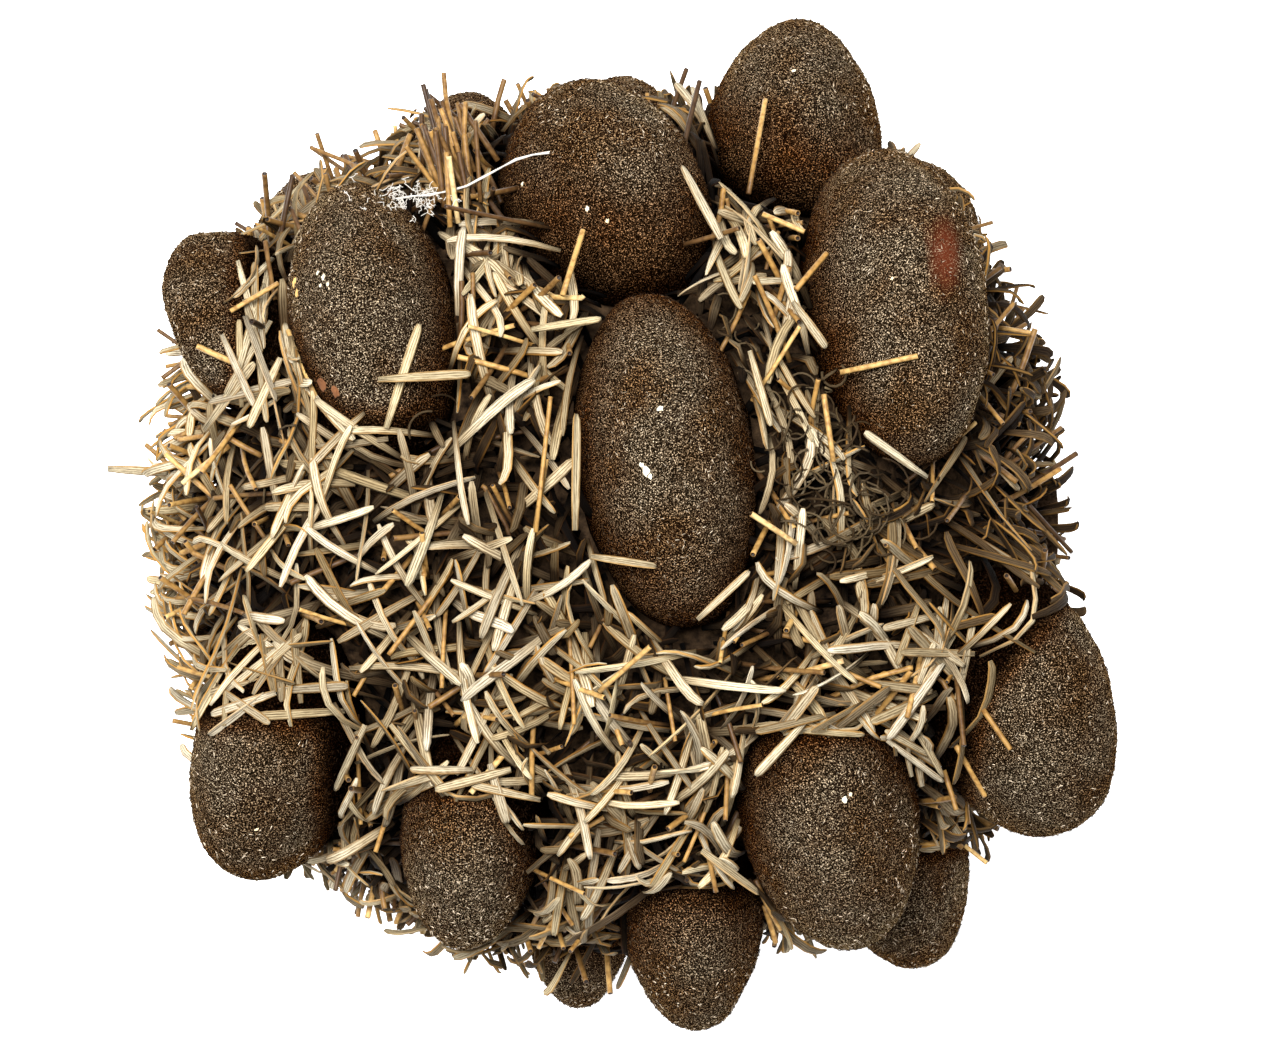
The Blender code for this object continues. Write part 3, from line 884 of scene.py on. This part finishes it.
draw = np.random.default_rng(33)
root, outward = head_lattice(UNDER_STRAPS, draw.uniform(0.77, 0.88, UNDER_STRAPS), 0.2)
standing = clear_of_stalk(root)
root, outward = root[standing], outward[standing]
count = len(root)
habit = {
    "length": draw.uniform(8 * MM, 11 * MM, count),
    "lean": draw.uniform(0.2, 0.8, count),
    "last_lean": draw.uniform(0.6, 1.5, count),
    "bend": draw.normal(0, 0.4, count),
    "hook": draw.normal(0, 0.4, count),
}
heading = comb_heading(root, outward, 9 * MM, 3.0, 1.2, draw)
limit = draw.uniform(0.90, 0.965, count) - 0.03 * close_cropped(root)
kept, lines = grow_under_florets(root, outward, heading, habit, limit, UNDER_STATIONS, 0.3 * MM)
lines, outward = lines[kept], outward[kept]
count = len(lines)
# Painted shade: the under straps get a darker tone than the top straps, and their depth shade is dimmed
# further by 0.8.
plant_straps("under_straps", template_arrays(model_strap(UNDER_SECTION, UNDER_STATIONS)), UNDER_STATIONS,
             UNDER_WIDTHS, lines, outward, painted_depth_shade(lines, 1.0) * 0.8, draw.normal(0.38, 0.17, count),
             np.clip(draw.normal(0.5, 0.3, count), 0, 1), draw)


# Styles: the stiff golden wires that are left of each flower, snapped off near the head's surface, with
# a hollow in each broken end, painted dark as shade.
STYLE_STATIONS = (0.0, 0.3, 0.6, 0.97, 1.0)
STYLE_COUNT = 2800
STYLE_HALF_WIDTH = (0.23 * MM, 0.34 * MM)


def model_style():
    """A style one unit long: a six-sided wire with a pit in its broken end."""
    deselect_all()
    bpy.ops.mesh.primitive_circle_add(vertices=6, radius=1, fill_type="NGON", rotation=(0, math.pi / 2, 0))
    style = bpy.context.object
    keep_place(style)
    extrude_rings(STYLE_STATIONS)
    bpy.ops.mesh.inset(thickness=0.35, depth=0)
    bpy.ops.mesh.extrude_region_move(TRANSFORM_OT_translate={"value": (-0.03, 0, 0)})
    close_outward()
    return style


def style_material():
    material, tree, shader = new_material("golden_style")
    colour = ramp_node(tree, carried_value(tree, "tone"), [
        (0.0, (0.010, 0.005, 0.002)), (0.25, (0.070, 0.034, 0.011)), (0.6, (0.28, 0.155, 0.042)),
        (0.85, (0.47, 0.31, 0.115)), (1.0, (0.58, 0.47, 0.28))])
    streak = noise_value(tree, 1500, 3)
    shade = ramp_node(tree, streak, [(0.36, (0.45, 0.36, 0.28)), (0.58, (1, 1, 1))])
    give_colour(tree, shader, mix_colour(tree, "MULTIPLY", 0.8, colour, shade), 0.5, 0.2)
    add_bump(tree, streak, shader, 0.05 * MM, 0.6)
    return material


def plant_styles(name, lines, outward, tone, draw):
    """Copies of a style along the middle lines, as one piece, with painted shade at their roots and in their
    pits.
    """
    count = len(lines)
    half_width = np.repeat(draw.uniform(*STYLE_HALF_WIDTH, count)[:, None], len(STYLE_STATIONS), axis=1)
    corners, faces = ribbon_copies(style_template, STYLE_STATIONS, lines, outward, half_width,
                                   half_width[:, 0], *np.zeros((3, count)))
    styles = mesh_object(name, corners, faces)
    # Painted shade: styles darken towards their roots deep in the head, and their pits are painted black.
    rise = np.clip((head_share(corners) - 0.86) / 0.1, 0.12, 1)
    painted_pit_shade = np.tile(np.hypot(style_template[0][:, 1], style_template[0][:, 2]) < 0.9, count)
    tone = np.repeat(np.clip(tone, 0.12, 0.95), len(style_template[0]))
    point_value(styles.data, "tone", np.where(painted_pit_shade, 0.0, tone * rise))
    styles.data.materials.append(style_skin)
    styles.data.shade_smooth()
    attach(styles, "root")
    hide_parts("flower_head")


style_template = template_arrays(model_style())
style_skin = style_material()
draw = np.random.default_rng(47)
root, outward = head_lattice(STYLE_COUNT, draw.uniform(0.83, 0.92, STYLE_COUNT), 0.8)
bristling = (root[:, 1] > 16 * MM) & (root[:, 0] < 8 * MM) & (outward[:, 2] < 0.75) & (outward[:, 2] > -0.3)
standing = (draw.random(STYLE_COUNT) < np.where(bristling, 0.62, 0.32)) & left_standing(root, draw)
root, outward, bristling = root[standing], outward[standing], bristling[standing]
count = len(root)
steep = np.clip(1 - outward[:, 2] / 0.6, 0, 1)
first_lean = draw.uniform(0.75, 1.35, count) * (1 - steep) + draw.uniform(0.1, 0.9, count) * steep
habit = {
    "length": draw.uniform(8 * MM, 13 * MM, count),
    "lean": first_lean,
    "last_lean": first_lean + draw.normal(0.08, 0.12, count),
    "bend": draw.normal(0, 0.12, count),
    "hook": np.where(draw.random(count) < 0.12, draw.normal(0, 0.9, count), 0),
}
heading = comb_heading(root, outward, 16 * MM, 9.0, 0.8, draw)
limit = 0.97 + 0.08 * draw.random(count) ** 2 + 0.03 * bristling - 0.03 * close_cropped(root)
kept, lines = grow_under_florets(root, outward, heading, habit, limit, STYLE_STATIONS, 0.35 * MM, True)
lines, outward, root, bristling = lines[kept], outward[kept], root[kept], bristling[kept]
lines = lines + ((root - SPIKE_MIDDLE) * (mound_growth(root) - 1)[:, None])[:, None]
count = len(lines)
tone = end_mix(lines[:, 0, 0], draw.normal(0.60, 0.18, count) - 0.24 * bristling,
               draw.normal(0.28, 0.12, count))
plant_styles("styles", lines, outward, tone, draw)


# Loose florets: straps and styles that stand apart from the rest, over the edges of the follicles and in
# the gaps. Each is given by where its two ends are seen from above and by how far they are lifted.
LOOSE_STRAPS = (
    ((-33.1, 14.9, 0.4), (-27.5, 8.8, 0.6)), ((-24.9, 15.0, 0.6), (-15.3, 15.6, 1.0)),
    ((-24.1, 10.0, 0.3), (-20.7, 20.8, 0.8)), ((-4.5, -0.6, 0.3), (-4.4, 11.4, 0.6)),
    ((-2.8, -3.3, 0.3), (3.9, -4.4, 0.6)), ((10.7, 29.9, 0.8), (6.8, 37.8, 0.4)),
    ((32.3, 5.0, 0.5), (25.6, 9.6, 0.6)), ((19.5, -20.5, 0.4), (14.3, -26.2, 0.6)),
    ((34.0, -14.5, 0.8), (28.2, -22.5, 0.5)), ((13.6, 18.0, 0.5), (15.8, 10.2, 0.7)),
    ((18.2, 23.2, 0.6), (21.6, 18.4, 0.5)), ((-9.0, 20.2, 0.5), (-1.8, 21.4, 0.6)),
    ((8.2, -9.8, 0.4), (13.5, -4.8, 0.6)), ((-37.0, -17.6, 0.4), (-42.9, -22.0, 0.5)),
    ((-26.5, -21.0, 0.5), (-30.0, -28.0, 0.4)), ((-55.6, 6.0, 7.0), (-49.0, 5.6, -9.6)),
    ((-37.6, 25.5, -1.0), (-40.2, 16.0, 0.6)), ((-38.8, 27.0, -1.0), (-37.5, 18.5, 0.4)),
    ((-36.8, 21.5, -0.5), (-41.6, 13.5, 0.6)), ((-39.5, 22.0, -0.5), (-36.0, 13.0, 0.5)),
    ((-40.5, 28.0, -1.0), (-38.4, 21.0, 0.2)), ((-37.0, 28.5, -1.5), (-40.8, 24.0, 0.5)),
    ((-41.8, 20.0, 0.0), (-38.2, 12.4, 0.6)), ((-35.6, 17.5, 0.0), (-38.9, 10.2, 0.5)),
)
LOOSE_STYLES = (
    ((-31.4, 12.8, 0.4), (-34.8, 20.4, 1.0)), ((23.1, 15.8, 0.35), (31.1, 17.5, 0.6)),
    ((13.8, 35.2, -9.0), (15.7, 45.6, 3.0)), ((-8.5, -0.8, 0.6), (-7.0, 13.2, 1.2)),
    ((18.5, 24.5, 0.3), (21.8, 28.4, 1.5)), ((-5.8, 23.8, 0.5), (-3.7, 30.7, 1.5)),
    ((15.1, 32.6, 0.6), (19.5, 30.7, 1.0)), ((18.4, -2.0, 0.5), (13.7, 1.1, 1.0)),
    ((22.3, 6.5, 0.5), (21.3, 13.5, 1.2)), ((38.2, -19.4, 0.4), (41.1, -23.6, 0.8)),
    ((35.4, -23.0, 0.6), (38.8, -28.8, 0.8)), ((-2.0, -17.3, 0.5), (3.3, -12.6, 1.2)),
    ((-41.0, 22.5, 0.5), (-36.0, 25.5, 2.0)), ((-40.5, 17.0, 0.4), (-44.5, 18.8, 0.8)),
)
ABOVE_ALL = 200 * MM
LOOSE_CLEARANCE = 0.35 * MM


def skin_height(x, y):
    """Height of a follicle at a place seen from above, 0 beside them."""
    hit, _, _, _ = skins_tree.ray_cast(Vector((x, y, ABOVE_ALL)), Vector((0, 0, -1)))
    return hit.z if hit else 0


def top_height(x, y):
    """Height of the head or of a follicle at a place seen from above."""
    ring = HEAD_RADIUS * barrel_share(x - SPIKE_MIDDLE[0], HEAD_HALF_LENGTH, HEAD_ROUNDNESS)
    head = SPIKE_MIDDLE[2] + math.sqrt(max(ring ** 2 - (y - SPIKE_MIDDLE[1]) ** 2, 0))
    return max(head, skin_height(x, y))


def upward(lines):
    """Straight up, for each line."""
    return np.tile(np.array([0.0, 0.0, 1.0]), (len(lines), 1))


def loose_lines(rows, stations, sag):
    """Middle lines from end to end that keep above the follicles."""
    lines = []
    for (x0, y0, lift0), (x1, y1, lift1) in rows:
        ends = [(x * MM, y * MM, top_height(x * MM, y * MM) + lift * MM)
                for x, y, lift in ((x0, y0, lift0), (x1, y1, lift1))]
        line = [Vector(ends[0]).lerp(Vector(ends[1]), station) for station in stations]
        for point, station in zip(line, stations):
            point.z -= sag * math.sin(math.pi * station)
            point.z = max(point.z, skin_height(point.x, point.y) + LOOSE_CLEARANCE)
        lines.append([tuple(point) for point in line])
    return np.array(lines)


draw = np.random.default_rng(53)
lines = loose_lines(LOOSE_STRAPS, STRAP_STATIONS, -0.8 * MM)
count = len(lines)
plant_straps("loose_straps", strap_template, STRAP_STATIONS, STRAP_WIDTHS, lines, upward(lines),
             np.ones(lines.shape[:2]), draw.normal(0.74, 0.08, count), draw.uniform(0.2, 0.7, count), draw)
lines = loose_lines(LOOSE_STYLES, STYLE_STATIONS, 0)
plant_styles("loose_styles", lines, upward(lines), draw.normal(0.66, 0.08, len(lines)), draw)


# Thatch: the straps that have fallen over the inner ends of the follicles, in small loose patches. Each
# row is a patch seen from above: its middle and half sizes in millimetres, and its count of straps.
THATCH_PLACES = (
    (-37, -16.5, 6.5, 4.0, 22), (-39, 20, 2.2, 6.5, 14), (-17, -26.5, 6, 2.2, 16), (23, -21.5, 7, 2.4, 20),
    (33, -14, 4, 4, 14), (31.5, -27, 2.4, 5, 14), (9, -37.8, 5, 1.8, 8), (-31, -27, 2.0, 4, 10),
)
THATCH_LONGEST = 12.5 * MM

draw = np.random.default_rng(59)
rows = []
for x, y, half_x, half_y, count in THATCH_PLACES:
    for _ in range(count):
        middle_x, middle_y = draw.uniform(x - half_x, x + half_x), draw.uniform(y - half_y, y + half_y)
        angle, half_length = draw.uniform(0, math.tau), draw.uniform(3.0, 4.8)
        over_x, over_y = half_length * math.cos(angle), half_length * math.sin(angle)
        rows.append(((middle_x - over_x, middle_y - over_y, -1.2),
                     (middle_x + over_x, middle_y + over_y, draw.uniform(0.2, 2.2))))
lines = loose_lines(rows, STRAP_STATIONS, -0.5 * MM)
whole = np.array([not any(covers_bare(point) for point in line) for line in lines])
whole &= np.linalg.norm(np.diff(lines, axis=1), axis=2).sum(axis=1) < THATCH_LONGEST
lines = lines[whole]
count = len(lines)
# Thatch gets a light painted shade (0.92) in its depth attribute.
plant_straps("strap_thatch", strap_template, STRAP_STATIONS, STRAP_WIDTHS, lines, upward(lines),
             np.full(lines.shape[:2], 0.92), draw.normal(0.70, 0.14, count), draw.uniform(0.3, 0.9, count),
             draw)


# Style sheaf: a tuft of dark ochre styles between two follicles at the back left, that all point up and
# out over the edge of the head.
SHEAF_COUNT = 34
SHEAF_MIDDLE = (-17.0 * MM, 35.2 * MM)
SHEAF_SPREAD = (1.5 * MM, 2.3 * MM)

draw = np.random.default_rng(61)
foot = np.stack([draw.normal(SHEAF_MIDDLE[0], SHEAF_SPREAD[0], SHEAF_COUNT),
                 draw.normal(SHEAF_MIDDLE[1], SHEAF_SPREAD[1], SHEAF_COUNT)], axis=1)
foot = np.array([(x, y, top_height(x, y) - 2.5 * MM) for x, y in foot])
way = unit(np.stack([draw.normal(-0.24, 0.16, SHEAF_COUNT), draw.normal(0.85, 0.12, SHEAF_COUNT),
                     draw.normal(0.05, 0.18, SHEAF_COUNT)], axis=1))
reach = draw.uniform(5.5 * MM, 9.5 * MM, SHEAF_COUNT)
lines = foot[:, None] + way[:, None] * (reach[:, None] * np.array(STYLE_STATIONS)[None])[..., None]
apart = np.array([clear_distance(line) > 0.3 * MM for line in lines])
lines = lines[apart]
plant_styles("style_sheaf", lines, upward(lines), draw.normal(0.40, 0.15, len(lines)), draw)


# Curled threads: thin dried shreds of the flowers, grey-brown and coiled, caught in the open gaps.
THREAD_COUNT = 130
THREAD_WIDTH = 0.26
THREAD_STATIONS = tuple(step / 9 for step in range(10))
THREAD_SECTION = ((-1, 0), (0, 0.34), (1, 0), (0, -0.34))
THREAD_PLACES = ((21, 7.5, 5.5, 9), (21, 7.5, 5.5, 9), (24, 1, 6, 4), (12, 12, 3, 10), (-26, 10, 6, 3))

draw = np.random.default_rng(67)
lines = []
while len(lines) < THREAD_COUNT:
    x, y, half_x, half_y = THREAD_PLACES[draw.integers(len(THREAD_PLACES))]
    x, y = draw.normal(x, half_x / 2) * MM, draw.normal(y, half_y / 2) * MM
    centre = np.array((x, y, top_height(x, y) - draw.uniform(1.5, 5.5) * MM))
    side = unit(draw.normal(size=3) * np.array([1, 1, 0.4]))
    other = unit(np.cross(side, draw.normal(size=3) * np.array([0.5, 0.5, 1])))
    turn = draw.uniform(0, math.tau) + draw.uniform(1.6, 4.6) * np.array(THREAD_STATIONS)
    radius = draw.uniform(0.9, 2.8) * MM * np.linspace(1.0, draw.uniform(0.5, 1.3), len(THREAD_STATIONS))
    line = centre + side * (radius * np.cos(turn))[:, None] + other * (radius * np.sin(turn))[:, None]
    if clear_distance(line) > 0.25 * MM:
        lines.append(line)
lines = np.array(lines)
# Threads get a light painted shade (0.85) in their depth attribute.
plant_straps("curled_threads", template_arrays(model_strap(THREAD_SECTION, THREAD_STATIONS)), THREAD_STATIONS,
             (THREAD_WIDTH,) * len(THREAD_STATIONS), lines, upward(lines), np.full(lines.shape[:2], 0.85),
             draw.normal(0.36, 0.10, THREAD_COUNT), np.zeros(THREAD_COUNT), draw)


# Flecks and crumbs: chips of white lichen, a few ochre flakes and brown crumbs stuck to the felt.
# Each row is its place seen from above, half its size and its tone, from brown over ochre to white.
FLECKS = (
    (4.3, 11.9, 0.36, 1.0), (2.9, 5.5, 0.48, 1.0), (3.3, 4.9, 0.30, 1.0), (2.4, 6.1, 0.30, 1.0),
    (23.6, -28.8, 0.36, 1.0), (24.2, -28.2, 0.24, 0.9), (-3.3, 33.2, 0.30, 0.9), (-10.2, 36.1, 0.26, 0.9),
    (-33.9, 25.3, 0.50, 0.55), (-33.6, 24.2, 0.42, 0.5), (-30.8, 14.6, 0.85, 0.15), (-29.4, 13.8, 0.65, 0.2),
    (-31.8, 13.6, 0.55, 0.1), (14.8, 53.3, 0.55, 0.1), (15.6, 54.0, 0.40, 0.15), (18.8, 48.9, 0.24, 0.9),
    (-30.7, 25.7, 0.32, 0.95), (-31.3, 26.2, 0.26, 0.95), (-30.2, 25.0, 0.24, 0.9), (-31.0, 24.8, 0.2, 0.95),
    (-1.2, 31.9, 0.24, 0.8), (28.5, 25.6, 0.22, 0.8), (41.2, -35.5, 0.25, 0.8), (-38.0, -32.0, 0.22, 0.8),
)


def fleck_material():
    material, tree, shader = new_material("stuck_flecks")
    colour = ramp_node(tree, carried_value(tree, "tone"), [
        (0.0, (0.045, 0.018, 0.008)), (0.25, (0.16, 0.065, 0.026)), (0.55, (0.50, 0.31, 0.11)),
        (1.0, (0.64, 0.59, 0.44))])
    give_colour(tree, shader, colour, 0.9, 0.1)
    return material


deselect_all()
bpy.ops.mesh.primitive_ico_sphere_add(subdivisions=2, radius=1)
chip, chip_faces = template_arrays(bpy.context.object)
corners, faces, tones = [], [], []
for x, y, half, tone in FLECKS:
    hit, normal, _, _ = skins_tree.ray_cast(Vector((x * MM, y * MM, ABOVE_ALL)), Vector((0, 0, -1)))
    if hit is None:
        continue
    turn = normal.to_track_quat("Z", "Y")
    for corner in chip:
        swell = 1 + 0.7 * noise.noise(Vector(corner) * 1.6 + Vector((x, y, 0)))
        corner = Vector((corner[0], corner[1] * 0.8, corner[2] * 0.45))
        corners.append(hit + turn @ corner * swell * half * MM)
    faces.append(chip_faces + len(chip) * len(tones))
    tones.append(tone)
flecks = mesh_object("stuck_flecks", np.array([tuple(corner) for corner in corners]), np.concatenate(faces))
point_value(flecks.data, "tone", np.repeat(tones, len(chip)))
flecks.data.materials.append(fleck_material())
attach(flecks, "root")
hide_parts("flower_head")


# Web: a spider's thread slung between two follicles at the back left, with a little fluff where it is
# caught on the florets.
WEB_PATH = (
    (-23.5, 34.4, 0.5), (-20.4, 34.8, 0.6), (-16.8, 35.2, 1.0), (-13.4, 37.0, 1.2), (-10.6, 38.8, 0.8),
    (-7.3, 39.4, 0.4))
FLUFF_COUNT = 60


def web_material():
    material, _, shader = new_material("web_thread")
    shader.inputs["Base Color"].default_value = (0.50, 0.47, 0.42, 1)
    shader.inputs["Roughness"].default_value = 0.6
    return material


draw = np.random.default_rng(71)
knots = np.array([(x * MM, y * MM, top_height(x * MM, y * MM) + lift * MM) for x, y, lift in WEB_PATH])
at = np.linspace(0, len(knots) - 1, len(THREAD_STATIONS))
strand = np.stack([np.interp(at, np.arange(len(knots)), knots[:, axis]) for axis in range(3)], axis=1)
lines = [strand, strand + draw.normal(0, 0.12 * MM, strand.shape)]
for _ in range(FLUFF_COUNT):
    x, y = draw.normal(-22.0, 2.4) * MM, draw.normal(34.6, 1.0) * MM
    start = np.array((x, y, top_height(x, y) + draw.uniform(0.1, 0.8) * MM))
    lines.append(start + np.cumsum(draw.normal(0, 0.22 * MM, (len(THREAD_STATIONS), 3)), axis=0))
lines = np.array(lines)
thread_template = template_arrays(model_strap(((-1, 0), (0, 1), (1, 0), (0, -1)), THREAD_STATIONS))
half_width = np.full((len(lines), len(THREAD_STATIONS)), 0.035 * MM)
half_width[:2] = 0.07 * MM
corners, faces = ribbon_copies(thread_template, THREAD_STATIONS, lines, upward(lines), half_width,
                               half_width[:, 0], *np.zeros((3, len(lines))))
web = mesh_object("web", corners, faces)
web.data.materials.append(web_material())
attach(web, "root")
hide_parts("flower_head")


# Table, light and camera: a pale sheet, one large soft light from above and an even pale surround. The
# camera looks straight down on the cone, as in the photograph.
CAMERA_HEIGHT = 850 * MM
PICTURE_WIDTH = 1280
PIXELS_PER_MM = 9.13
SPIKE_PIXEL = (615, 527)
PICTURE_MIDDLE = (640, 522)

deselect_all()
bpy.ops.mesh.primitive_plane_add(size=4)
table = bpy.context.object
table.name = "pale_table"
table_material, _, table_shader = new_material("pale_table")
table_shader.inputs["Base Color"].default_value = (0.95, 0.95, 0.95, 1)
table_shader.inputs["Roughness"].default_value = 0.8
table_shader.inputs["Emission Color"].default_value = (1, 1, 1, 1)
table_shader.inputs["Emission Strength"].default_value = 1.0
table.data.materials.append(table_material)

world = bpy.data.worlds.new("pale_surround")
bpy.context.scene.world = world
world.use_nodes = True
world.node_tree.nodes["Background"].inputs["Color"].default_value = (1, 1, 1, 1)
world.node_tree.nodes["Background"].inputs["Strength"].default_value = 0.38

lamp_data = bpy.data.lights.new("soft_lamp", "AREA")
lamp_data.shape = "DISK"
lamp_data.size = 0.45
lamp_data.energy = 50
lamp = bpy.data.objects.new("soft_lamp", lamp_data)
lamp.location = (-0.14, 0.22, 1.25)
lamp.rotation_euler = (Vector(SPIKE_MIDDLE) - lamp.location).to_track_quat("-Z", "Y").to_euler()
bpy.context.scene.collection.objects.link(lamp)

camera_data = bpy.data.cameras.new("camera")
camera_data.sensor_width = 36
camera_data.lens = 36 * CAMERA_HEIGHT / (PICTURE_WIDTH / PIXELS_PER_MM * MM)
camera = bpy.data.objects.new("camera", camera_data)
camera.location = Vector(SPIKE_MIDDLE) + Vector(((PICTURE_MIDDLE[0] - SPIKE_PIXEL[0]) / PIXELS_PER_MM * MM,
                                                 (SPIKE_PIXEL[1] - PICTURE_MIDDLE[1]) / PIXELS_PER_MM * MM,
                                                 CAMERA_HEIGHT))
bpy.context.scene.collection.objects.link(camera)
bpy.context.scene.camera = camera
bpy.context.scene.view_settings.view_transform = "Standard"
